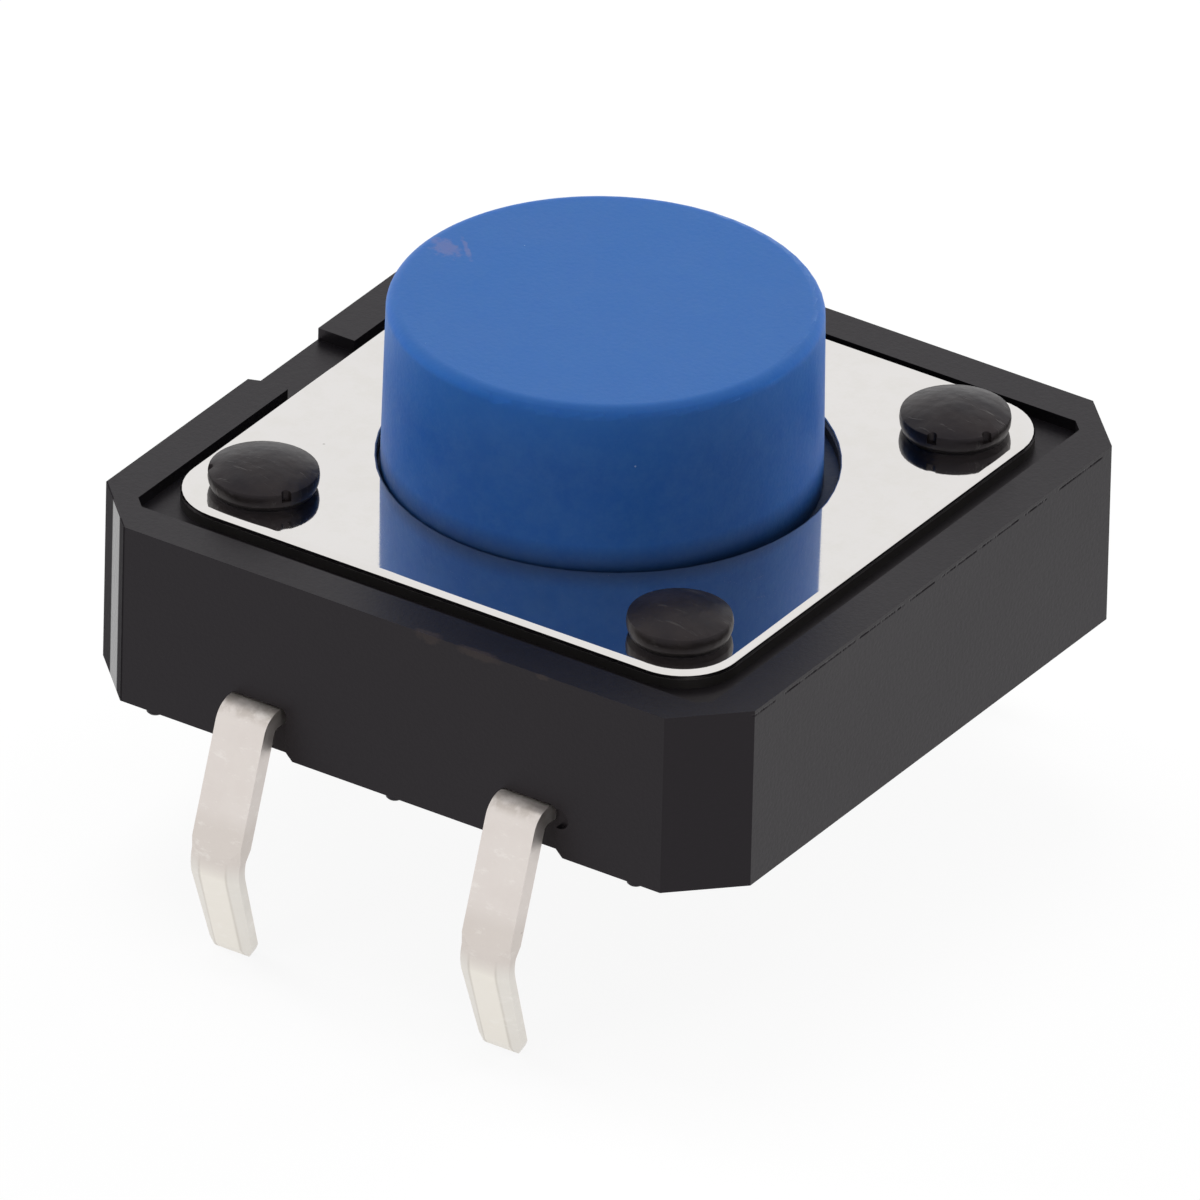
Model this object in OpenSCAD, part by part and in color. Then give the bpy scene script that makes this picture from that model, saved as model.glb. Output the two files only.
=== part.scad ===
// Tactile push button switch, through-hole, with a square body and a round button.
// The origin is the middle of the housing's underside, on the board. +Z points up, and the
// terminals come out of the -Y and +Y sides. All sizes are in millimetres.

/* [Housing] */
// Side of the square housing
body_w = 12; // [11.6:0.1:13]
// Height of the rim above the board
rim_h = 3.1; // [3:0.05:3.6]
// Cut across each upright corner, measured along the side
corner_cut = 1; // [0.6:0.05:1.2]
// Thickness of the rim round the cover plate
rim_t = 0.68; // [0.6:0.02:0.76]
// Cut across the inner corners of the rim
inner_cut = 0.2; // [0.15:0.05:0.5]
// Length of the low place in the left rim
rim_gap_w = 1.85; // [1:0.05:3]
// Depth of the low place in the left rim
rim_gap_depth = 0.2; // [0.1:0.05:0.3]
// How far the low place lies from the middle of its side
rim_gap_y = -0.07; // [-0.5:0.01:0.5]
// Length cut off the outer corner at the near end of the low place
rim_gap_cut = 0.1; // [0.05:0.01:0.2]
// Width of that cut across the rim
rim_gap_cut_w = 0.27; // [0.1:0.01:0.4]
// Distance from the body's side to the outer stubs of the mould under the front edge
stub_inset = 1.55; // [1.4:0.05:2.5]
// Diameter of those stubs
stub_d = 0.28; // [0.2:0.02:0.4]
// Height of those stubs
stub_h = 0.09; // [0.04:0.01:0.1]

/* [Cover plate] */
// Thickness of the steel plate
plate_t = 0.3; // [0.2:0.05:0.4]
// How far the plate stands above the rim
plate_proud = 0.1; // [0.05:0.01:0.16]
// Gap between the plate and the rim
plate_gap = 0.28; // [0.12:0.01:0.3]
// Radius of the plate's corners
plate_corner_r = 1; // [0.6:0.05:1.2]
// Rounding that the punch left on the plate's upper outer edge
plate_edge_r = 0.1; // [0.04:0.01:0.14]
// Rounding that the punch left on the upper edge of the large hole
hole_edge_r = 0.05; // [0.02:0.01:0.1]

/* [Staked posts] */
// Distance from the plate's side to the middle of a post
post_inset = 1.19; // [1.15:0.01:1.25]
// Diameter of the posts
post_d = 1.25; // [1.1:0.05:1.3]
// Gap between a post and its hole in the plate
post_gap = 0.11; // [0.05:0.01:0.12]
// How much of that gap the plate has settled to one side
plate_play_share = 0.83; // [0:0.01:0.9]
// Direction that the plate has settled in, in degrees
plate_play_dir = 135; // [0:1:360]
// Diameter of the staked heads at their widest
head_d = 1.74; // [1.6:0.02:1.76]
// Height of the staked heads
head_h = 0.5; // [0.44:0.02:0.6]
// Height at which they are widest
head_belt = 0.22; // [0.15:0.01:0.3]
// Radius of the bulge of their sides
head_side_r = 0.36; // [0.3:0.02:0.42]
// Radius of their domed tops
head_top_r = 2.1; // [1.8:0.1:6]
// Diameter of the head that spread least, at the front right corner
head_near_d = 1.66; // [1.6:0.02:1.76]
// Radius of the chips in the rims of two heads
chip_r = 0.08; // [0.04:0.01:0.1]
// How deep those chips reach in from the rim
chip_depth = 0.09; // [0.04:0.01:0.12]

/* [Button] */
// Height of the button above the plate
cap_h = 2.8; // [1:0.1:8]
// Draft of the button's side, in degrees
cap_draft = 0.8; // [0.5:0.1:1.5]
// Rounding of the button's top edge
cap_edge_r = 0.2; // [0.05:0.05:0.5]
// Gap between the button and the plate's hole
hole_gap = 0.15; // [0.1:0.01:0.2]
// How much of that gap the button has settled to one side
play_share = 0.88; // [0:0.01:0.9]
// Direction that the button has settled in, in degrees
play_dir = 254; // [0:1:360]
// How far the button can be pressed
travel = 0.3; // [0.2:0.01:0.32]
// Distance from the body's side to the cavity of the button's flange
cavity_wall = 1.7; // [1.65:0.05:1.75]
// Gap between the flange and its cavity
flange_gap = 0.25; // [0.24:0.01:0.29]
// How far the flange reaches under the plate, past the hole
flange_hold = 0.47; // [0.35:0.01:0.8]
// Thickness of the flange
flange_t = 0.8; // [0.6:0.05:0.9]
// Thickness of the button's side wall
cap_wall = 0.7; // [0.5:0.05:0.9]
// Thickness of the button's top
cap_roof = 0.8; // [0.5:0.05:0.95]
// Diameter of the plunger that presses the dome
plunger_d = 1.8; // [1.4:0.1:2.2]
// Thickness of the four ribs inside the button
rib_t = 0.5; // [0.3:0.05:0.7]

/* [Contact dome] */
// Diameter of the dome
dome_d = 5.2; // [5.1:0.02:5.3]
// Height of the dome when it is free
dome_h = 0.4; // [0.38:0.01:0.44]
// Thickness of the dome
dome_t = 0.07; // [0.05:0.01:0.08]
// Width of the flat land round the dome
dome_land = 0.25; // [0.15:0.05:0.35]
// Gap between the dome and its pocket
dome_gap = 0.1; // [0.05:0.01:0.15]
// Gap between the plunger and the dome at rest
plunger_gap = 0.01; // [0.005:0.005:0.02]

/* [Terminals] */
// Distance between the two terminals of one side
term_pitch = 5; // [4.9:0.05:5.2]
// Width of the terminal strip
strip_w = 0.9; // [0.8:0.05:1]
// Thickness of the terminal strip
strip_t = 0.3; // [0.25:0.01:0.32]
// Height of the strip's underside in the housing
strip_z = 0.54; // [0.5:0.02:0.7]
// How far the terminals reach below the board's upper face
leg_len = 3.35; // [3:0.05:4]
// Depth of the kink below the board's upper face
kink_depth = 1.64; // [1.3:0.02:1.8]
// Lean of the leg above the kink, in degrees
lean_out = 18.3; // [12:0.1:20]
// Lean of the leg below the kink, in degrees
lean_in = 17.7; // [12:0.1:22]
// Inner radius of the bend at the housing
bend_r = 0.1; // [0.06:0.01:0.2]
// How far outside the body's side that bend starts
bend_out = 0.04; // [0:0.01:0.1]
// Inner radius of the kink
kink_r = 0.5; // [0.2:0.05:0.6]
// Width that the leg's left side loses from the kink to the tip, seen from outside
leg_taper_l = 0.09; // [0.01:0.01:0.12]
// Width that its right side loses
leg_taper_r = 0.03; // [0.01:0.01:0.12]
// Width of the coined edges of the leg's end
coin_w = 0.18; // [0.1:0.01:0.2]
// Depth of the coined edges of the leg's end
coin_t = 0.07; // [0.05:0.01:0.11]
// Length over which the coining runs out above the kink
coin_run = 0.2; // [0.1:0.05:0.4]
// Length of the tapered tip
tip_len = 0.16; // [0.1:0.02:0.4]
// Width cut off each side of the tip
tip_side = 0.08; // [0.04:0.01:0.12]
// Thickness cut off each face of the tip
tip_face = 0.06; // [0.03:0.01:0.1]
// Depth of the recess that each terminal comes out of
recess_depth = 0.18; // [0.12:0.01:0.22]
// Width of that recess to the right of the terminal
recess_side = 0.12; // [0.06:0.01:0.3]
// Gap between the recess and the terminal on the left and above
recess_gap = 0.04; // [0.02:0.01:0.08]
// Rounding of the upper corners of the recess
recess_r = 0.12; // [0.06:0.01:0.2]
// Cut across the edge where the recess meets the underside
recess_cut = 0.13; // [0.08:0.01:0.3]
// Radius of the nick beside the recess of the front right terminal
nick_r = 0.17; // [0.08:0.01:0.2]

/* [Contacts] */
// Height of the base over the strips, which the dome stands on
cover_t = 0.1; // [0.08:0.01:0.12]
// Width of the ring under the dome
ring_w = 0.65; // [0.6:0.05:0.7]
// Half of the angle that the ring covers, in degrees
ring_half_angle = 110; // [100:5:120]
// Diameter of the three raised spots of the ring
spot_d = 0.4; // [0.3:0.02:0.5]
// Angle between those spots, in degrees
spot_angle = 95; // [60:5:95]
// Diameter of the middle contact
pad_d = 1.2; // [1:0.05:1.4]
// Width of the finger that carries it
finger_w = 0.7; // [0.5:0.05:0.8]
// Diameter of the raised middle of that contact
mid_spot_d = 0.7; // [0.5:0.05:0.9]
// How far it stands above the floor under the dome
mid_spot_h = 0.03; // [0.02:0.005:0.04]

/* [Hidden] */

eps = 0.01;
lap = 0.0001;
moulded = [0.16, 0.16, 0.165];
steel = [0.86, 0.86, 0.85];
tinned = [0.82, 0.8, 0.78];
bronze = [0.8, 0.76, 0.66];
blue = [0.17, 0.36, 0.66];

half_w = body_w / 2;
plate_top = rim_h + plate_proud;
ledge_z = plate_top - plate_t;
recess_w = body_w - 2 * rim_t;
plate_w = recess_w - 2 * plate_gap;
plate_play = plate_play_share * post_gap;
plate_at = plate_play * [cos(plate_play_dir), sin(plate_play_dir)];
strip_top = strip_z + strip_t;
seat_z = strip_top + cover_t;

cavity_r = half_w - cavity_wall;
flange_r = cavity_r - flange_gap;
hole_r = flange_r - flange_hold;
cap_r = hole_r - hole_gap;
cap_top_r = cap_r - cap_h * tan(cap_draft);
button_at = plate_at + play_share * hole_gap * [cos(play_dir), sin(play_dir)];
flange_z = ledge_z - flange_t;
cavity_z = flange_z - travel - 0.2;
plunger_z = seat_z + dome_h + plunger_gap;

dome_r = dome_d / 2;
pocket_r = dome_r + dome_gap;
ring_r = pocket_r;

post_x = plate_w / 2 - post_inset;
front_left_chips = [213, 328];
back_right_chips = [278, 338];
gap_near = rim_gap_y - rim_gap_w / 2;
gap_far = rim_gap_y + rim_gap_w / 2;
term_x = term_pitch / 2;

// The leg is a strip folded in one plane. A heading is the angle below the outward direction.
head_1 = 90 - lean_out;
head_2 = 90 + lean_in;
fold_r1 = bend_r + strip_t / 2;
fold_r2 = kink_r + strip_t / 2;
start_p = [half_w + bend_out, strip_z + strip_t / 2];
after_1 = start_p + fold_step(fold_r1, 0, head_1);
kink_top = -kink_depth + fold_r2 * (cos(head_1) - cos((head_1 + head_2) / 2));
run_1 = (after_1[1] - kink_top) / sin(head_1);
before_2 = after_1 + run_1 * [cos(head_1), -sin(head_1)];
after_2 = before_2 + fold_step(fold_r2, head_1, head_2);
run_2 = (after_2[1] + leg_len + (strip_t / 2 - tip_face) * cos(head_2)) / sin(head_2);

// Move made by a fold of radius r that turns from heading a to heading b.
function fold_step(r, a, b) = r * [sin(b) - sin(a), cos(b) - cos(a)];

// Cross-section of the strip: w wide and t thick, with edges coined by cw across and ct deep.
function section(w, t, cw, ct) = cw == 0
    ? [[-t / 2, -w / 2], [t / 2, -w / 2], [t / 2, w / 2], [-t / 2, w / 2]]
    : [[-t / 2 + ct, -w / 2], [t / 2 - ct, -w / 2], [t / 2, -w / 2 + cw], [t / 2, w / 2 - cw],
       [t / 2 - ct, w / 2], [-t / 2 + ct, w / 2], [-t / 2, w / 2 - cw], [-t / 2, -w / 2 + cw]];

// Width that one side of the leg loses from the kink to the tip.
function taper(side) = side > 0 ? leg_taper_l : leg_taper_r;

// Outline of a square of side w whose corners are cut by c.
function cut_square(w, c) = [
    for (k = [0:3], s = [-1, 1])
        let (a = 90 * k, p = [w / 2, s * (w / 2 - c)])
            [p[0] * cos(a) - p[1] * sin(a), p[0] * sin(a) + p[1] * cos(a)]
];

// Lays the plane of a fold upright: length outward along Y, thickness along Z, width along X.
module upright() {
    rotate(a = 120, v = [1, 1, 1]) children();
}

// Lays its child, drawn upright on a cross-section, along a heading from p.
module along(p, heading) {
    translate([p[0], p[1], 0]) rotate([0, 0, -heading]) rotate(a = 120, v = [1, 1, 1]) children();
}

// Block that stands on the plane through p with the normal n, and cuts away what lies there.
module beyond(p, n) {
    translate(p) rotate([0, acos(n[2] / norm(n)), atan2(n[1], n[0])])
        translate([-3, -3, 0]) cube([6, 6, 1]);
}

// Fold of centre radius r that turns from heading a to heading b.
module strip_fold(p, a, b, r, shape) {
    translate([p[0] - r * sin(a), p[1] - r * cos(a), 0]) rotate([0, 0, 90 - b])
        rotate_extrude(angle = b - a, $fn = 96) translate([r, 0]) polygon(shape);
}

// One terminal leg, outward along +Y, folded down and kinked so that it snaps into the board.
module leg() {
    plain = section(strip_w, strip_t, 0, 0);
    coined = section(strip_w, strip_t, coin_w, coin_t);
    x = strip_t / 2;
    y = strip_w / 2;
    upright() {
        along(start_p - [1, 0], 0) linear_extrude(1 + lap) polygon(plain);
        strip_fold(start_p, 0, head_1, fold_r1, plain);
        along(after_1, head_1) difference() {
            translate([0, 0, -lap]) linear_extrude(run_1 + 2 * lap) polygon(plain);
            for (i = [-1, 1], j = [-1, 1])
                beyond([i * x, j * (y - coin_w), run_1 + eps], [i / coin_t, j / coin_w, 1 / coin_run]);
        }
        strip_fold(before_2, head_1, head_2, fold_r2, coined);
        along(after_2, head_2) difference() {
            translate([0, 0, -lap]) linear_extrude(run_2 + lap) polygon(coined);
            for (i = [-1, 1]) {
                beyond([0, i * y, eps], [0, i * run_2, taper(i)]);
                beyond([0, i * (y - taper(i) - tip_side), run_2], [0, i * tip_len, tip_side]);
                beyond([i * (x - tip_face), 0, run_2], [i * tip_len, 0, tip_face]);
            }
            for (i = [-1, 1], j = [-1, 1])
                beyond([i * x, j * (y - coin_w), eps],
                    [i * coin_w * run_2, j * coin_t * run_2, coin_t * taper(j)]);
        }
    }
}

// Straight strip through the housing, from the fold of one leg to the fold of the other.
module strip_bar() {
    translate([-strip_w / 2, -start_p[0], strip_z]) cube([strip_w, 2 * start_p[0], strip_t]);
}

module both_legs() {
    for (a = [0, 180]) rotate([0, 0, a]) leg();
}

// Open ring under the rim of the dome.
module contact_ring() {
    translate([0, 0, strip_z]) difference() {
        cylinder(r = ring_r, h = strip_t, $fn = 96);
        translate([0, 0, -eps]) cylinder(r = ring_r - ring_w, h = strip_t + 2 * eps, $fn = 96);
        translate([0, 0, -eps]) linear_extrude(strip_t + 2 * eps) polygon([
            [0, 0],
            2 * ring_r * [cos(ring_half_angle), sin(ring_half_angle)],
            [-2 * ring_r, 2 * ring_r],
            [-2 * ring_r, -2 * ring_r],
            2 * ring_r * [cos(ring_half_angle), -sin(ring_half_angle)]
        ]);
    }
}

module common_flat() {
    translate([term_x, 0, 0]) strip_bar();
    contact_ring();
    for (a = [-spot_angle, 0, spot_angle]) rotate([0, 0, a])
        translate([dome_r - dome_land / 2, 0, strip_z]) cylinder(d = spot_d, h = seat_z - strip_z, $fn = 32);
}

module signal_flat() {
    translate([-term_x, 0, 0]) strip_bar();
    translate([-term_x, -finger_w / 2, strip_z]) cube([term_x, finger_w, strip_t]);
    translate([0, 0, strip_z]) {
        cylinder(d = pad_d, h = strip_t, $fn = 64);
        cylinder(d = mid_spot_d, h = seat_z + mid_spot_h - strip_z, $fn = 48);
    }
}

// Stamped frame of the right-hand terminals, with the ring whose spots the dome stands on.
module common_frame() {
    color(tinned) union() {
        common_flat();
        translate([term_x, 0, 0]) both_legs();
    }
}

// Stamped frame of the left-hand terminals, with the middle contact under the dome.
module signal_frame() {
    color(tinned) union() {
        signal_flat();
        translate([-term_x, 0, 0]) both_legs();
    }
}

// Staked head d wide: narrow where it meets the plate, widest above it, domed, and chipped
// at the given directions.
module head(d, chips) {
    r = d / 2;
    difference() {
        rotate_extrude($fn = 64) intersection() {
            union() {
                translate([r - head_side_r, head_belt]) circle(head_side_r, $fn = 64);
                square([r - head_side_r, head_h]);
            }
            translate([0, head_h - head_top_r]) circle(head_top_r, $fn = 64);
            square([r, head_h]);
        }
        for (a = chips) rotate([0, 0, a]) translate([r + chip_r - chip_depth, 0, head_belt - chip_r / 2])
            cylinder(r = chip_r, h = head_h, $fn = 32);
    }
}

module at_posts() {
    for (x = [-post_x, post_x], y = [-post_x, post_x]) translate([x, y, 0]) children();
}

// Recess in the side at one terminal, open below, with rounded upper corners.
module terminal_recess() {
    r = recess_r;
    left = strip_w / 2 + recess_gap;
    right = strip_w / 2 + recess_side;
    top = strip_top + recess_gap;
    translate([0, half_w - recess_depth, 0]) {
        translate([-right, 0, -1]) cube([left + right, 1, top + 1 - r]);
        translate([-right + r, 0, -1]) cube([left + right - 2 * r, 1, top + 1]);
        for (x = [-right + r, left - r]) translate([x, 0, top - r]) rotate([-90, 0, 0])
            cylinder(r = r, h = 1, $fn = 48);
        translate([-right, 1, 0]) rotate([90, 45, 0]) cube([recess_cut * sqrt(2), recess_cut * sqrt(2), 2],
            center = true);
    }
}

// Small stub left by the mould under the front edge.
module gate_stub() {
    r = stub_d / 2;
    translate([0, 0.02 + r - half_w, -stub_h]) rotate_extrude($fn = 24)
        polygon([[0, 0], [r - 0.03, 0], [r, 0.03], [r, stub_h + 0.03], [0, stub_h + 0.03]]);
}

module housing() {
    color(moulded) difference() {
        union() {
            linear_extrude(rim_h) polygon(cut_square(body_w, corner_cut));
            for (k = [-1:1]) translate([k * (half_w - stub_inset), 0, 0]) gate_stub();
        }
        translate([0, 0, ledge_z]) linear_extrude(rim_h) polygon(cut_square(recess_w, inner_cut));
        translate([0, 0, cavity_z]) cylinder(r = cavity_r, h = rim_h, $fn = 128);
        translate([0, 0, seat_z]) cylinder(r = pocket_r, h = rim_h, $fn = 96);
        translate([-half_w, 0, rim_h - rim_gap_depth]) linear_extrude(1) polygon([
            [-rim_gap_cut_w, gap_near - 2 * rim_gap_cut], [rim_gap_cut_w, gap_near], [rim_t + eps, gap_near],
            [rim_t + eps, gap_far], [-rim_gap_cut_w, gap_far]
        ]);
        for (a = [0, 180], x = [-term_x, term_x]) rotate([0, 0, a]) translate([x, 0, 0]) terminal_recess();
        translate([term_x + strip_w / 2 + recess_side + 0.05, recess_depth / 2 - half_w, strip_top - nick_r])
            rotate([90, 0, 0]) cylinder(r = nick_r, h = 1, $fn = 48);
        common_flat();
        signal_flat();
    }
    color(moulded) at_posts() translate([0, 0, ledge_z - 0.4])
        cylinder(d = post_d, h = 0.4 + plate_t, $fn = 48);
    color(moulded) translate([0, 0, plate_top]) {
        translate([-post_x, -post_x, 0]) head(head_d, front_left_chips);
        translate([post_x, post_x, 0]) head(head_d, back_right_chips);
        translate([-post_x, post_x, 0]) head(head_d, []);
        translate([post_x, -post_x, 0]) head(head_near_d, []);
    }
}

// Half of the plate's section, w wide, with its upper outer edge rounded.
module plate_section(w) {
    square([w, plate_t - plate_edge_r]);
    square([w - plate_edge_r, plate_t]);
    translate([w - plate_edge_r, plate_t - plate_edge_r]) circle(plate_edge_r, $fn = 32);
}

// Steel plate with rounded corners, held by the posts, with the hole for the button.
module cover_plate() {
    c = plate_w / 2 - plate_corner_r;
    color(steel) translate([plate_at[0], plate_at[1], ledge_z]) difference() {
        union() {
            for (a = [0:90:270]) rotate([0, 0, a]) {
                translate([0, c, 0]) rotate([90, 0, 0]) linear_extrude(2 * c) plate_section(plate_w / 2);
                translate([c, c, 0]) rotate_extrude($fn = 64) plate_section(plate_corner_r);
            }
        }
        translate([0, 0, -eps]) cylinder(r = hole_r, h = plate_t + 2 * eps, $fn = 128);
        rotate_extrude($fn = 128) difference() {
            translate([hole_r - eps, plate_t - hole_edge_r]) square(hole_edge_r + eps);
            translate([hole_r + hole_edge_r, plate_t - hole_edge_r]) circle(hole_edge_r, $fn = 32);
        }
        at_posts() translate([0, 0, -eps])
            cylinder(r = post_d / 2 + post_gap, h = plate_t + 2 * eps, $fn = 48);
    }
}

// Moulded button with a flange under the plate, cored from below round its plunger.
module button() {
    top_z = plate_top + cap_h;
    core_r = cap_top_r - cap_wall;
    core_h = top_z - cap_roof - flange_z;
    stem_r = plunger_d / 2 + 0.25;
    edge = [cap_top_r + cap_edge_r * (tan(cap_draft) - 1 / cos(cap_draft)), top_z - cap_edge_r];
    color(blue) translate([button_at[0], button_at[1], 0]) union() {
        difference() {
            rotate_extrude($fn = 128) union() {
                polygon([
                    [0, flange_z], [flange_r, flange_z], [flange_r, ledge_z], [cap_r, ledge_z],
                    [cap_r, plate_top], edge + cap_edge_r * [cos(cap_draft), sin(cap_draft)],
                    edge + [0, cap_edge_r], [0, top_z]
                ]);
                translate(edge) circle(cap_edge_r, $fn = 48);
            }
            translate([0, 0, flange_z - eps]) difference() {
                cylinder(r = core_r, h = core_h + eps, $fn = 96);
                translate([0, 0, -eps]) cylinder(r = stem_r, h = core_h + 3 * eps, $fn = 64);
            }
        }
        for (a = [45, 135]) rotate([0, 0, a]) translate([-core_r - 0.1, -rib_t / 2, flange_z + 0.6])
            cube([2 * core_r + 0.2, rib_t, core_h - 0.5]);
        translate([0, 0, plunger_z]) cylinder(d = plunger_d, h = flange_z - plunger_z + 0.1, $fn = 64);
    }
}

// Snap dome: a thin spherical disc with a flat land round it.
module contact_dome() {
    crown_r = dome_r - dome_land;
    rise = dome_h - dome_t;
    ball_r = (crown_r * crown_r + rise * rise) / (2 * rise);
    color(bronze) translate([0, 0, seat_z]) rotate_extrude($fn = 96) union() {
        intersection() {
            translate([0, rise - ball_r]) difference() {
                circle(ball_r + dome_t, $fn = 128);
                circle(ball_r, $fn = 128);
            }
            square([dome_r, dome_h]);
        }
        translate([crown_r, 0]) square([dome_land, dome_t]);
    }
}

housing();
cover_plate();
button();
contact_dome();
common_frame();
signal_frame();
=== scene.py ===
"""Tactile push button switch: finishes, floor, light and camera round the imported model."""
import math

import bmesh
import bpy
from mathutils import Matrix, Vector


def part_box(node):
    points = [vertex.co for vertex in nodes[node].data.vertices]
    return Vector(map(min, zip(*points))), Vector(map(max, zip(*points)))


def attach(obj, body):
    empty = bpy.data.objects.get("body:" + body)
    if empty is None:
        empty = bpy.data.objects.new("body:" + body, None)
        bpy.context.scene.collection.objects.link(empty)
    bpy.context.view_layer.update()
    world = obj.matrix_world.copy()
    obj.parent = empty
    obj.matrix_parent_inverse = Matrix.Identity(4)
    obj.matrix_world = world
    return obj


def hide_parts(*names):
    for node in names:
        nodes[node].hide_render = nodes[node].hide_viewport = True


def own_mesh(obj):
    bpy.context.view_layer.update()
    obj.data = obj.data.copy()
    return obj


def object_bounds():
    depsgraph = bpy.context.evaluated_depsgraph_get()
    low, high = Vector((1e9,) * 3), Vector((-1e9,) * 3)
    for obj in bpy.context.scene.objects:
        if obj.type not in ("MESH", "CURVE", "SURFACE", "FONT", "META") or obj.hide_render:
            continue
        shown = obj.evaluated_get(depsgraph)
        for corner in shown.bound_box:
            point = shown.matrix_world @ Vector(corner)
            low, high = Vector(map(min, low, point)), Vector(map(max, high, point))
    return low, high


MM = 0.001

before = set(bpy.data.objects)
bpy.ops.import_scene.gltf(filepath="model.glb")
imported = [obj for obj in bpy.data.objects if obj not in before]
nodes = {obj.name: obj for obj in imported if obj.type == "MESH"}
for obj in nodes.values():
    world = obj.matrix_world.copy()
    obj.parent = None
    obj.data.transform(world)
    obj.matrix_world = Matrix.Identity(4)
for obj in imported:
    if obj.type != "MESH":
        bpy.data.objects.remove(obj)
cad_box = [list(corner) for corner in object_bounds()]
FLOOR_Z = cad_box[0][2]

# Sizes read from the model, in mm.
HALF_W = cad_box[1][0] / MM
PLATE_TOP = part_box("cover_plate")[1][2] / MM
CAP_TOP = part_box("button")[1][2] / MM

# Cut across each upright corner in mm, and what x and y add up to on it.
CORNER_CUT = 1.0
CORNER_SUM = 2 * HALF_W - CORNER_CUT

# Terminals, in mm: distance between two, heights of the bend at the housing and of the kink, and how
# far from the middle of the strip its coined sides start.
TERM_PITCH = 5.0
FOLD_Z = 0.79
KINK_Z = -1.64
COIN_START = 0.25

# Height of the parting line on the housing's right side, in mm.
SEAM_Z = 3.02

# Marks seen on the object, each as its place and half size in mm and its turn in degrees.
RIM_RUBS = [
    ((0.65, -5.97, 3.08), (0.30, 0.10, 0.15), 0),
    ((1.55, -5.99, 3.05), (0.45, 0.08, 0.10), 0),
    ((2.74, -6.00, 3.07), (0.16, 0.06, 0.06), 0),
]
PLATE_SCRATCHES = [
    ((1.93, -3.06, 3.2), (0.18, 0.02, 0.5), 35),
    ((3.90, -1.72, 3.2), (0.24, 0.015, 0.5), 75),
    ((3.61, -2.09, 3.2), (0.12, 0.015, 0.5), 20),
    ((4.25, -2.19, 3.2), (0.14, 0.015, 0.5), 60),
]
CAP_SCUFFS = [
    ((-3.02, -0.15, 6.0), (0.36, 0.22, 0.3), 150),
    ((-2.70, -0.02, 6.0), (0.42, 0.05, 0.3), 135),
]


# Shader nodes

class Net:
    """Short calls for placing and joining the nodes of one tree."""

    def __init__(self, tree):
        self.tree = tree

    def add(self, kind, **values):
        node = self.tree.nodes.new(kind)
        for name, value in values.items():
            setattr(node, name, value)
        return node

    def put(self, socket, value):
        """Joins a socket to the value, or sets it to a plain value."""
        if isinstance(value, bpy.types.NodeSocket):
            self.tree.links.new(value, socket)
        elif value is not None:
            socket.default_value = value

    def math(self, operation, a, b=None, c=None):
        node = self.add("ShaderNodeMath", operation=operation)
        for socket, value in zip(node.inputs, (a, b, c)):
            self.put(socket, value)
        return node.outputs[0]

    def mix(self, fac, a, b):
        node = self.add("ShaderNodeMix", data_type="RGBA")
        self.put(node.inputs[0], fac)
        self.put(node.inputs[6], a)
        self.put(node.inputs[7], b)
        return node.outputs[2]

    def tint(self, color, mask, share, tone):
        """The color, turned towards the tone by a share where the mask is 1."""
        return self.mix(self.math("MULTIPLY", mask, share), color, tone)

    def span(self, value, low, high, to_low=0.0, to_high=1.0):
        """The value from low to high, spread over to_low to to_high."""
        node = self.add("ShaderNodeMapRange")
        for socket, item in zip(node.inputs, (value, low, high, to_low, to_high)):
            self.put(socket, item)
        return node.outputs[0]

    def noise(self, coords, scale, detail=2.0, rough=0.5):
        node = self.add("ShaderNodeTexNoise")
        self.put(node.inputs["Vector"], coords)
        for name, value in (("Scale", scale), ("Detail", detail), ("Roughness", rough)):
            self.put(node.inputs[name], value)
        return node.outputs["Fac"]

    def place(self, coords, turn=(0, 0, 0), scale=(1, 1, 1)):
        """Coordinates turned and scaled, for a pattern with a grain."""
        node = self.add("ShaderNodeMapping")
        self.put(node.inputs["Vector"], coords)
        for name, value in (("Rotation", turn), ("Scale", scale)):
            self.put(node.inputs[name], value)
        return node.outputs[0]

    def coords(self):
        """Object coordinates in millimetres."""
        return self.place(self.add("ShaderNodeTexCoord").outputs["Object"], scale=(1000, 1000, 1000))

    def axes(self, coords):
        node = self.add("ShaderNodeSeparateXYZ")
        self.put(node.inputs[0], coords)
        return node.outputs

    def near(self, value, middle, half, soft):
        """1 where the value is within half of the middle, with a soft border."""
        off = self.math("ABSOLUTE", self.math("SUBTRACT", value, middle))
        return self.span(off, half + soft, half)

    def every(self, *masks):
        """Product of several masks."""
        result = masks[0]
        for mask in masks[1:]:
            result = self.math("MULTIPLY", result, mask)
        return result

    def group(self, tree, **values):
        node = self.add("ShaderNodeGroup", node_tree=tree)
        for name, value in values.items():
            self.put(node.inputs[name.replace("_", " ")], value)
        return node.outputs


def new_group(name, inputs, outputs):
    """Empty node group with its sockets: its net, what it is given and what it puts out."""
    tree = bpy.data.node_groups.new(name, "ShaderNodeTree")
    kinds = {"vector": "NodeSocketVector", "value": "NodeSocketFloat"}
    for label, kind, value in inputs:
        socket = tree.interface.new_socket(label, in_out="INPUT", socket_type=kinds[kind])
        if value is not None:
            socket.default_value = value
    for label, kind in outputs:
        tree.interface.new_socket(label, in_out="OUTPUT", socket_type=kinds[kind])
    net = Net(tree)
    return net, net.add("NodeGroupInput").outputs, net.add("NodeGroupOutput").inputs


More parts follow.
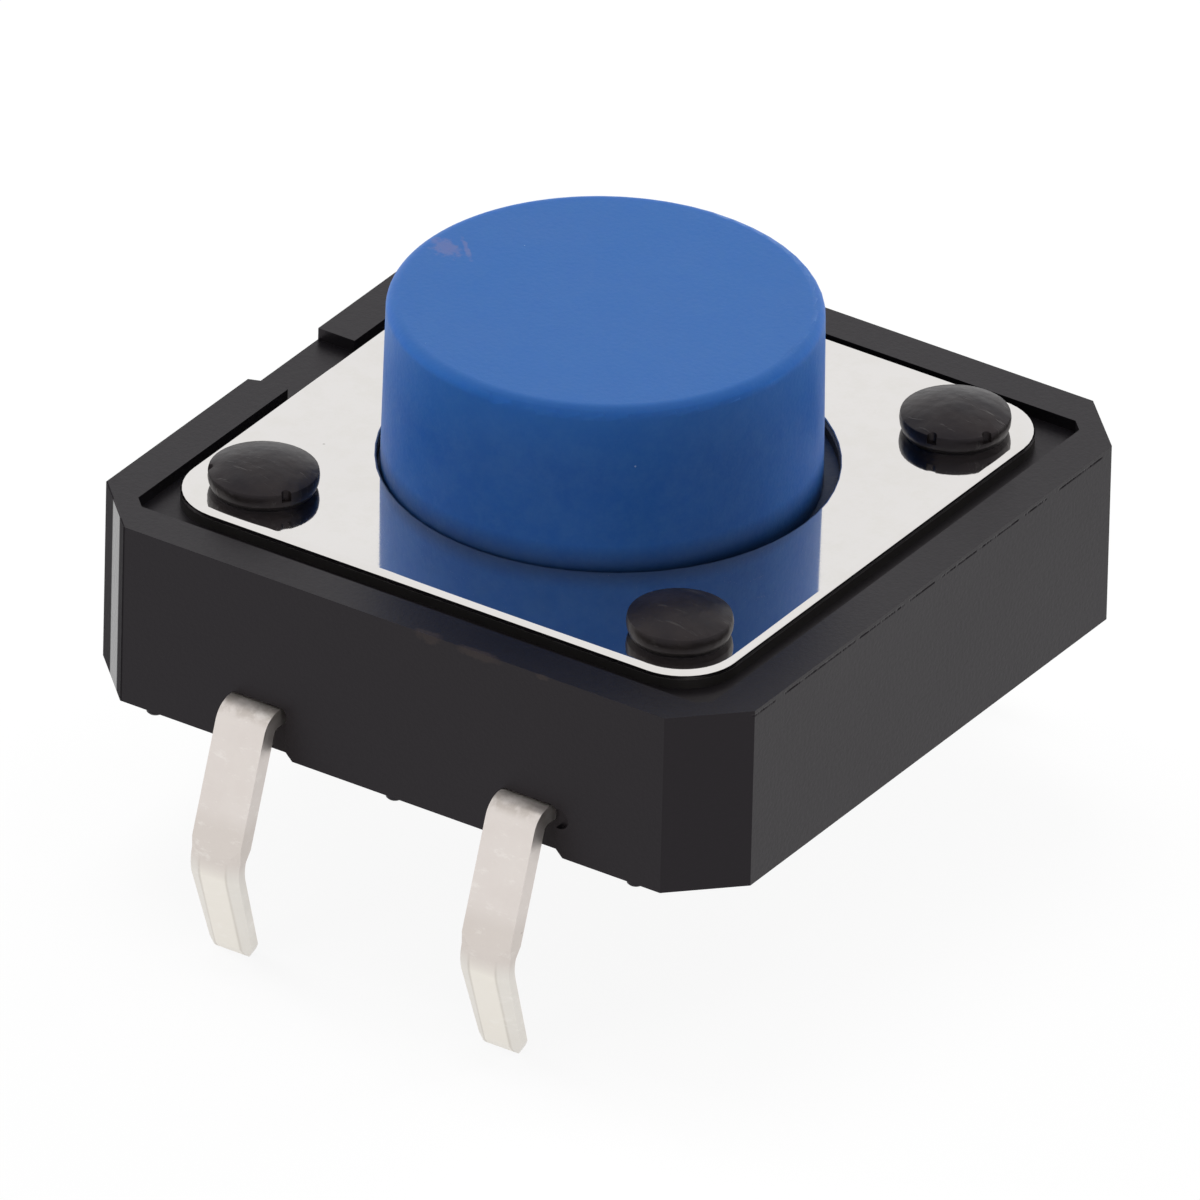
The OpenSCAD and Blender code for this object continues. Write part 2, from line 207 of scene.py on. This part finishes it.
def specks_group():
    """Small pale dust and chips, as a mask: a few spots of uneven size."""
    net, given, out = new_group(
        "specks",
        [("Coords", "vector", None), ("Density", "value", 1.5),
         ("Size", "value", 0.05), ("Share", "value", 0.1)],
        [("Mask", "value")])
    cells = net.add("ShaderNodeTexVoronoi", voronoi_dimensions="3D", feature="F1")
    net.put(cells.inputs["Vector"], given["Coords"])
    net.put(cells.inputs["Scale"], given["Density"])
    net.put(cells.inputs["Randomness"], 1.0)
    pick = net.add("ShaderNodeSeparateColor")
    net.put(pick.inputs[0], cells.outputs["Color"])
    chosen = net.math("LESS_THAN", pick.outputs[0], given["Share"])
    reach = net.math("MULTIPLY", given["Size"], given["Density"])
    size = net.math("MULTIPLY", reach, net.math("ADD", pick.outputs[1], 0.3))
    wobble = net.math("MULTIPLY", net.noise(given["Coords"], 18.0), reach)
    far = net.math("ADD", cells.outputs["Distance"], net.math("MULTIPLY", wobble, 0.8))
    near = net.math("SUBTRACT", size, far)
    spot = net.span(near, 0.0, 0.01)
    net.put(out["Mask"], net.math("MULTIPLY", spot, chosen))
    return net.tree


def grain_group():
    """Height of a fine moulded grain over a slow waviness."""
    net, given, out = new_group(
        "grain",
        [("Coords", "vector", None), ("Fine", "value", 16.0),
         ("Wave", "value", 0.5), ("Wave share", "value", 0.4)],
        [("Height", "value"), ("Cloud", "value")])
    fine = net.noise(given["Coords"], given["Fine"], 3.0, 0.6)
    wave = net.noise(given["Coords"], given["Wave"], 2.0, 0.5)
    net.put(out["Height"], net.math("MULTIPLY_ADD", wave, given["Wave share"], fine))
    net.put(out["Cloud"], wave)
    return net.tree


def mark_group():
    """One mark at a given place: an oval of a given size, turned in plan, with a ragged rim."""
    net, given, out = new_group(
        "mark",
        [("Coords", "vector", None), ("Place", "vector", None), ("Size", "vector", None),
         ("Turn", "vector", None), ("Ragged", "value", 0.5), ("Grain", "value", 6.0)],
        [("Mask", "value")])
    local = net.add("ShaderNodeMapping", vector_type="TEXTURE")
    for socket, label in zip(local.inputs, ("Coords", "Place", "Turn", "Size")):
        net.put(socket, given[label])
    reach = net.add("ShaderNodeVectorMath", operation="LENGTH")
    net.put(reach.inputs[0], local.outputs[0])
    rough = net.math("SUBTRACT", net.noise(given["Coords"], given["Grain"], 3.0, 0.6), 0.5)
    swing = net.math("MULTIPLY", given["Ragged"], 2.0)
    edge = net.math("MULTIPLY_ADD", rough, swing, reach.outputs["Value"])
    net.put(out["Mask"], net.span(edge, 1.0, 0.55))
    return net.tree


SPECKS = specks_group()
GRAIN = grain_group()
MARK = mark_group()


def marks(net, at, items, ragged=0.5, grain=6.0):
    """Mask of several marks, each given as its place, its size and its turn in degrees, in mm."""
    total = None
    for place, size, turn in items:
        mask = net.group(MARK, Coords=at, Place=place, Size=size, Turn=(0, 0, math.radians(turn)),
                         Ragged=ragged, Grain=grain)["Mask"]
        total = mask if total is None else net.math("MAXIMUM", total, mask)
    return total


def new_finish(name):
    """New material: itself, its net and its shader."""
    material = bpy.data.materials.new(name)
    material.use_nodes = True
    net = Net(material.node_tree)
    shader = material.node_tree.nodes["Principled BSDF"]
    return material, net, shader


def bump(net, shader, height, distance, strength=1.0):
    node = net.add("ShaderNodeBump")
    net.put(node.inputs["Height"], height)
    net.put(node.inputs["Distance"], distance)
    net.put(node.inputs["Strength"], strength)
    net.put(shader.inputs["Normal"], node.outputs[0])


def black_moulding():
    """Housing: satin black plastic, one polished corner, a parting line, rubs and scraped heads."""
    material, net, shader = new_finish("black_moulding")
    at = net.coords()
    x, y, z = net.axes(at)
    grain = net.group(GRAIN, Coords=at, Fine=14.0, Wave=0.45, Wave_share=0.6)
    color = net.mix(grain["Cloud"], (0.0028, 0.0024, 0.0030, 1), (0.0058, 0.0051, 0.0060, 1))

    # The front left corner cut is dull, and polished along a strip.
    across = net.math("MULTIPLY", net.math("ADD", x, y), -1.0)
    along = net.math("SUBTRACT", x, y)
    corner = net.span(across, CORNER_SUM - 0.04, CORNER_SUM - 0.02)
    strip = net.math("MULTIPLY", net.near(along, 0.2, 0.34, 0.1), corner)

    # Dashed parting line under the rim of the right side.
    dashes = net.span(net.noise(net.place(at, scale=(0, 1.7, 0)), 1.0, 4.0, 0.75), 0.44, 0.56)
    right_face = net.span(x, HALF_W - 0.05, HALF_W - 0.02)
    seam = net.every(net.near(z, SEAM_Z, 0.005, 0.022), right_face, dashes)
    color = net.tint(color, seam, 0.9, (0.0008, 0.0008, 0.0012, 1))

    # Rubbed places along the outer edge of the front rim.
    rubs = marks(net, at, RIM_RUBS, 0.9, 5.0)
    color = net.tint(color, rubs, 0.35, (0.055, 0.04, 0.032, 1))

    # The staked heads are brownish where the hot tool pressed them, and scraped.
    head = net.span(z, PLATE_TOP + 0.02, PLATE_TOP + 0.1)
    warm = net.math("MULTIPLY", head, net.span(net.noise(at, 1.3, 3.0, 0.6), 0.35, 0.65))
    color = net.tint(color, warm, 0.6, (0.022, 0.017, 0.015, 1))
    scrape = net.noise(net.place(at, turn=(0, 0, 0.5), scale=(2.0, 11.0, 4.0)), 1.0, 3.0, 0.6)
    scraped = net.math("MULTIPLY", head, net.span(scrape, 0.62, 0.72))
    color = net.tint(color, scraped, 0.35, (0.09, 0.085, 0.08, 1))

    dust = net.group(SPECKS, Coords=at, Density=1.3, Size=0.035, Share=0.07)["Mask"]
    color = net.tint(color, dust, 0.5, (0.10, 0.09, 0.085, 1))
    net.put(shader.inputs["Base Color"], color)
    satin = net.span(grain["Height"], 0.4, 1.2, 0.31, 0.43)
    satin = net.math("MULTIPLY_ADD", seam, 0.5, satin)
    satin = net.math("MULTIPLY_ADD", corner, 0.5, satin)
    net.put(shader.inputs["Roughness"], net.math("MULTIPLY_ADD", strip, -0.78, satin))
    shader.inputs["Specular IOR Level"].default_value = 0.27
    shader.inputs["Specular Tint"].default_value = (1.0, 0.9, 1.0, 1)
    lumps = net.math("MULTIPLY", head, net.noise(at, 1.7, 2.0, 0.6))
    height = net.math("MULTIPLY_ADD", scraped, 1.5, grain["Height"])
    height = net.math("MULTIPLY_ADD", lumps, 13.0, height)
    bump(net, shader, net.math("MULTIPLY_ADD", seam, -8.0, height), 0.003 * MM)
    return material


def bright_steel():
    """Cover plate: bright rolled sheet, a mirror with faint rolling lines, specks and scratches."""
    material, net, shader = new_finish("bright_steel")
    at = net.coords()
    lines = net.noise(net.place(at, scale=(0.6, 26.0, 1.0)), 1.0, 3.0, 0.6)
    haze = net.noise(at, 0.35, 2.0)
    color = net.mix(haze, (0.745, 0.725, 0.71, 1), (0.79, 0.77, 0.755, 1))
    stain = net.span(net.noise(at, 1.6, 5.0, 0.75), 0.45, 0.62)
    color = net.tint(color, stain, 0.35, (0.72, 0.70, 0.66, 1))
    dust = net.group(SPECKS, Coords=at, Density=1.8, Size=0.035, Share=0.13)["Mask"]
    color = net.tint(color, dust, 0.45, (0.30, 0.29, 0.26, 1))

    # The lower half of the sheared edge is rougher, and painted dark as shade and as the reflection of
    # the black rim in the gap.
    sheared_edge_shade = net.span(net.axes(at)[2], PLATE_TOP - 0.11, PLATE_TOP - 0.15)
    color = net.tint(color, sheared_edge_shade, 0.9, (0.03, 0.026, 0.024, 1))
    net.put(shader.inputs["Base Color"], color)
    net.put(shader.inputs["Metallic"], 1.0)
    scratched = marks(net, at, PLATE_SCRATCHES, 0.5, 9.0)
    gloss = net.span(lines, 0.3, 0.7, 0.035, 0.07)
    gloss = net.math("MULTIPLY_ADD", sheared_edge_shade, 0.4, gloss)
    net.put(shader.inputs["Roughness"], net.math("MULTIPLY_ADD", scratched, 0.16, gloss))
    bump(net, shader, lines, 0.0002 * MM, 0.5)
    return material


def blue_cap():
    """Button: satin blue plastic that light enters a little, cloudy, with dust and a scuffed top."""
    material, net, shader = new_finish("blue_cap")
    at = net.coords()
    z = net.axes(at)[2]
    grain = net.group(GRAIN, Coords=at, Fine=11.0, Wave=0.7, Wave_share=0.8)
    color = net.mix(grain["Cloud"], (0.009, 0.093, 0.375, 1), (0.014, 0.116, 0.425, 1))
    mottle = net.span(net.noise(at, 2.2, 6.0, 0.8), 0.4, 0.62)
    color = net.tint(color, mottle, 0.6, (0.030, 0.135, 0.42, 1))
    # Painted light: the blue gets lighter towards the top of the sides, where light enters the plastic.
    painted_top_light = net.span(z, PLATE_TOP + 1.6, PLATE_TOP + 2.6)
    color = net.tint(color, painted_top_light, 0.35, (0.006, 0.145, 0.50, 1))
    # Painted sheen: the flat top is greyer, standing in for white light reflected off it.
    painted_top_sheen = net.span(z, CAP_TOP - 0.1, CAP_TOP - 0.01)
    color = net.tint(color, painted_top_sheen, 0.6, (0.030, 0.123, 0.355, 1))

    dust = net.group(SPECKS, Coords=at, Density=2.4, Size=0.032, Share=0.2)["Mask"]
    color = net.tint(color, dust, 0.55, (0.45, 0.55, 0.66, 1))
    scuff = marks(net, at, CAP_SCUFFS, 1.1, 8.0)
    color = net.tint(color, scuff, 0.25, (0.36, 0.27, 0.34, 1))

    # Painted shade towards the plate and in the gap below its upper face.
    painted_low_shade = net.span(z, PLATE_TOP + 0.4, PLATE_TOP - 0.1)
    color = net.tint(color, painted_low_shade, 0.85, (0.004, 0.008, 0.022, 1))
    net.put(shader.inputs["Base Color"], color)
    satin = net.span(grain["Height"], 0.4, 1.4, 0.42, 0.56)
    net.put(shader.inputs["Roughness"], net.math("MULTIPLY_ADD", scuff, 0.15, satin))
    shader.inputs["Specular IOR Level"].default_value = 0.31
    shader.inputs["Subsurface Weight"].default_value = 0.45
    shader.inputs["Subsurface Radius"].default_value = (0.15, 0.45, 1.0)
    shader.inputs["Subsurface Scale"].default_value = 0.45 * MM
    bump(net, shader, grain["Height"], 0.005 * MM)
    return material


def tin_plate():
    """Lead frames: matt tin over brass, clouded and flecked, greyer at the kink and creamy below it."""
    material, net, shader = new_finish("tin_plate")
    at = net.coords()
    x, _, z = net.axes(at)
    cloud = net.noise(at, 1.6, 3.0, 0.6)
    color = net.mix(cloud, (0.71, 0.645, 0.605, 1), (0.85, 0.80, 0.765, 1))
    cream = net.span(z, KINK_Z + 0.14, KINK_Z - 0.16)
    color = net.tint(color, cream, 0.8, (0.93, 0.895, 0.82, 1))
    kink = net.near(z, KINK_Z + 0.39, 0.25, 0.3)
    color = net.tint(color, kink, 0.4, (0.63, 0.57, 0.52, 1))
    # Painted shade: blotchy brownish dark along the top of the bend at the housing.
    patches = net.span(net.noise(at, 5.0, 3.0, 0.6), 0.4, 0.6)
    painted_fold_shade = net.every(net.near(z, FOLD_Z, 0.05, 0.08), patches)
    color = net.tint(color, painted_fold_shade, 0.35, (0.40, 0.34, 0.28, 1))

    # Painted shade: the coined sides of the end are greyer, with a darker line where the coining
    # starts.
    side = net.math("ABSOLUTE", net.math("SUBTRACT", net.math("ABSOLUTE", x), TERM_PITCH / 2))
    end = net.span(z, KINK_Z + 0.19, KINK_Z - 0.06)
    coined = net.every(end, net.span(side, COIN_START - 0.01, COIN_START + 0.03))
    color = net.tint(color, coined, 0.5, (0.76, 0.735, 0.70, 1))
    coin_crease_shade = net.every(end, net.near(side, COIN_START, 0.004, 0.03))
    color = net.tint(color, coin_crease_shade, 0.4, (0.50, 0.46, 0.41, 1))

    flecks = net.group(SPECKS, Coords=at, Density=1.4, Size=0.07, Share=0.4)["Mask"]
    color = net.tint(color, flecks, 0.35, (0.36, 0.29, 0.27, 1))
    worn = net.span(net.noise(net.place(at, scale=(1.0, 1.0, 2.2)), 2.6, 5.0, 0.75), 0.56, 0.66)
    color = net.tint(color, worn, 0.3, (0.97, 0.94, 0.90, 1))
    net.put(shader.inputs["Base Color"], color)
    net.put(shader.inputs["Metallic"], 0.85)
    net.put(shader.inputs["Roughness"], net.span(cloud, 0.3, 0.7, 0.36, 0.55))
    bump(net, shader, net.noise(at, 5.0, 4.0, 0.65), 0.008 * MM)
    return material


def spring_metal():
    """Contact dome: silvered spring sheet with a faint turned texture."""
    material, net, shader = new_finish("spring_metal")
    at = net.coords()
    cloud = net.noise(at, 3.0, 2.0)
    net.put(shader.inputs["Base Color"], net.mix(cloud, (0.66, 0.65, 0.62, 1), (0.78, 0.77, 0.74, 1)))
    net.put(shader.inputs["Metallic"], 1.0)
    net.put(shader.inputs["Roughness"], net.span(cloud, 0.3, 0.7, 0.22, 0.32))
    bump(net, shader, net.noise(at, 20.0, 2.0), 0.001 * MM)
    return material


TIN = tin_plate()
FINISHES = {
    "housing": black_moulding(),
    "cover_plate": bright_steel(),
    "button": blue_cap(),
    "contact_dome": spring_metal(),
    "common_frame": TIN,
    "signal_frame": TIN,
}

# Rounded edge of each node, in mm.
EDGE_ROUNDING = {
    "housing": 0.06,
    "button": 0.03,
    "common_frame": 0.025,
    "signal_frame": 0.025,
}


def dress(name):
    """Gives a CAD node its finish and softens its sharp edges, where it has a rounding."""
    part = nodes[name]
    part.data.materials.clear()
    part.data.materials.append(FINISHES[name])
    if name not in EDGE_ROUNDING:
        return
    weld = part.modifiers.new("weld", "WELD")
    weld.merge_threshold = 0.0005 * MM

    soft = part.modifiers.new("soft_edges", "BEVEL")
    soft.width = EDGE_ROUNDING[name] * MM
    soft.segments = 3
    soft.limit_method = "ANGLE"
    soft.angle_limit = math.radians(28)
    soft.use_clamp_overlap = True
    soft.harden_normals = True


def snap_dome():
    """The contact dome again, welded and smooth-shaded as a piece of its own under the base body."""
    mesh = bpy.data.meshes.new("snap_dome")
    form = bmesh.new()
    form.from_mesh(nodes["contact_dome"].data)
    bmesh.ops.remove_doubles(form, verts=form.verts, dist=0.0001 * MM)
    form.to_mesh(mesh)
    form.free()
    if "custom_normal" in mesh.attributes:
        mesh.attributes.remove(mesh.attributes["custom_normal"])
    mesh.shade_smooth()
    mesh.set_sharp_from_angle(angle=math.radians(30))
    mesh.materials.clear()
    mesh.materials.append(FINISHES["contact_dome"])
    dome = bpy.data.objects.new("snap_dome", mesh)
    bpy.context.scene.collection.objects.link(dome)
    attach(dome, "base")
    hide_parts("contact_dome")
    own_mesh(dome)


for node_name in FINISHES:
    dress(node_name)
snap_dome()


# Floor, light and camera

def seen_directly(net):
    """Mask of the rays that look straight, or by mirror, from the camera."""
    path = net.add("ShaderNodeLightPath").outputs
    looks = net.math("MAXIMUM", path["Is Camera Ray"],
                     net.math("MAXIMUM", path["Is Glossy Ray"], path["Is Transmission Ray"]))
    return net.math("MULTIPLY", looks, net.math("LESS_THAN", path["Diffuse Depth"], 0.5))


def white_floor():
    """Floor under the terminals' tips: white to the eye, with a soft shadow."""
    mesh = bpy.data.meshes.new("floor")
    form = bmesh.new()
    bmesh.ops.create_grid(form, x_segments=1, y_segments=1, size=3.0)
    bmesh.ops.translate(form, verts=form.verts, vec=(0, 0, FLOOR_Z))
    form.to_mesh(mesh)
    form.free()
    floor = bpy.data.objects.new("floor", mesh)
    bpy.context.scene.collection.objects.link(floor)
    material, net, shader = new_finish("white_floor")
    seen = seen_directly(net)
    net.put(shader.inputs["Base Color"], net.mix(seen, (0.42, 0.42, 0.42, 1), (0.11, 0.11, 0.11, 1)))
    shader.inputs["Roughness"].default_value = 1.0
    shader.inputs["Specular IOR Level"].default_value = 0.0
    shader.inputs["Emission Color"].default_value = (1, 1, 1, 1)
    net.put(shader.inputs["Emission Strength"], net.math("MULTIPLY", seen, 0.9))
    mesh.materials.append(material)


def studio_world():
    """Pale surroundings: white where seen or mirrored, softer as light."""
    world = bpy.data.worlds.new("studio")
    world.use_nodes = True
    bpy.context.scene.world = world
    net = Net(world.node_tree)
    sky = world.node_tree.nodes["Background"]
    sky.inputs["Color"].default_value = (1, 1, 1, 1)
    net.put(sky.inputs["Strength"], net.span(seen_directly(net), 0.0, 1.0, 0.45, 1.0))


def lamp(name, place, size, power):
    """Round soft lamp that points at the origin and shows in no mirror."""
    data = bpy.data.lights.new(name, "AREA")
    data.shape = "DISK"
    data.size = size
    data.energy = power
    light = bpy.data.objects.new(name, data)
    light.location = place
    light.rotation_euler = (-Vector(place)).to_track_quat("-Z", "Y").to_euler()
    light.visible_glossy = False
    bpy.context.scene.collection.objects.link(light)


def camera():
    """Long lens at the angle and distance fitted to the photograph."""
    turn, rise, roll = (math.radians(a) for a in (32.941, 30.181, 1.421))
    distance, lens_px = 710.4 * MM, 45966.0
    flat = math.cos(rise)
    ahead = -Vector((math.sin(turn) * flat, -math.cos(turn) * flat, math.sin(rise)))
    side = ahead.cross(Vector((0, 0, 1))).normalized()
    rising = side.cross(ahead)
    right = math.cos(roll) * side + math.sin(roll) * rising
    up = math.cos(roll) * rising - math.sin(roll) * side
    target = Vector((0, 0, 1.5 * MM)) - 0.114 * MM * right - 0.723 * MM * up
    data = bpy.data.cameras.new("camera")
    data.sensor_width = 36.0
    data.lens = lens_px * 36.0 / 1200.0
    data.clip_start = 0.05
    data.clip_end = 20.0
    view = bpy.data.objects.new("camera", data)
    pose = Matrix((right, up, -ahead)).transposed().to_4x4()
    pose.translation = target - distance * ahead
    view.matrix_world = pose
    bpy.context.scene.collection.objects.link(view)
    bpy.context.scene.camera = view


white_floor()
studio_world()
lamp("key", (-0.06, 0.05, 0.30), 0.16, 0.28)
lamp("left", (-0.28, 0.02, 0.10), 0.14, 0.37)
lamp("right", (0.09, 0.26, 0.10), 0.14, 0.46)
lamp("front", (-0.10, -0.27, 0.08), 0.14, 0.12)
camera()

bpy.context.scene.view_settings.view_transform = "Standard"
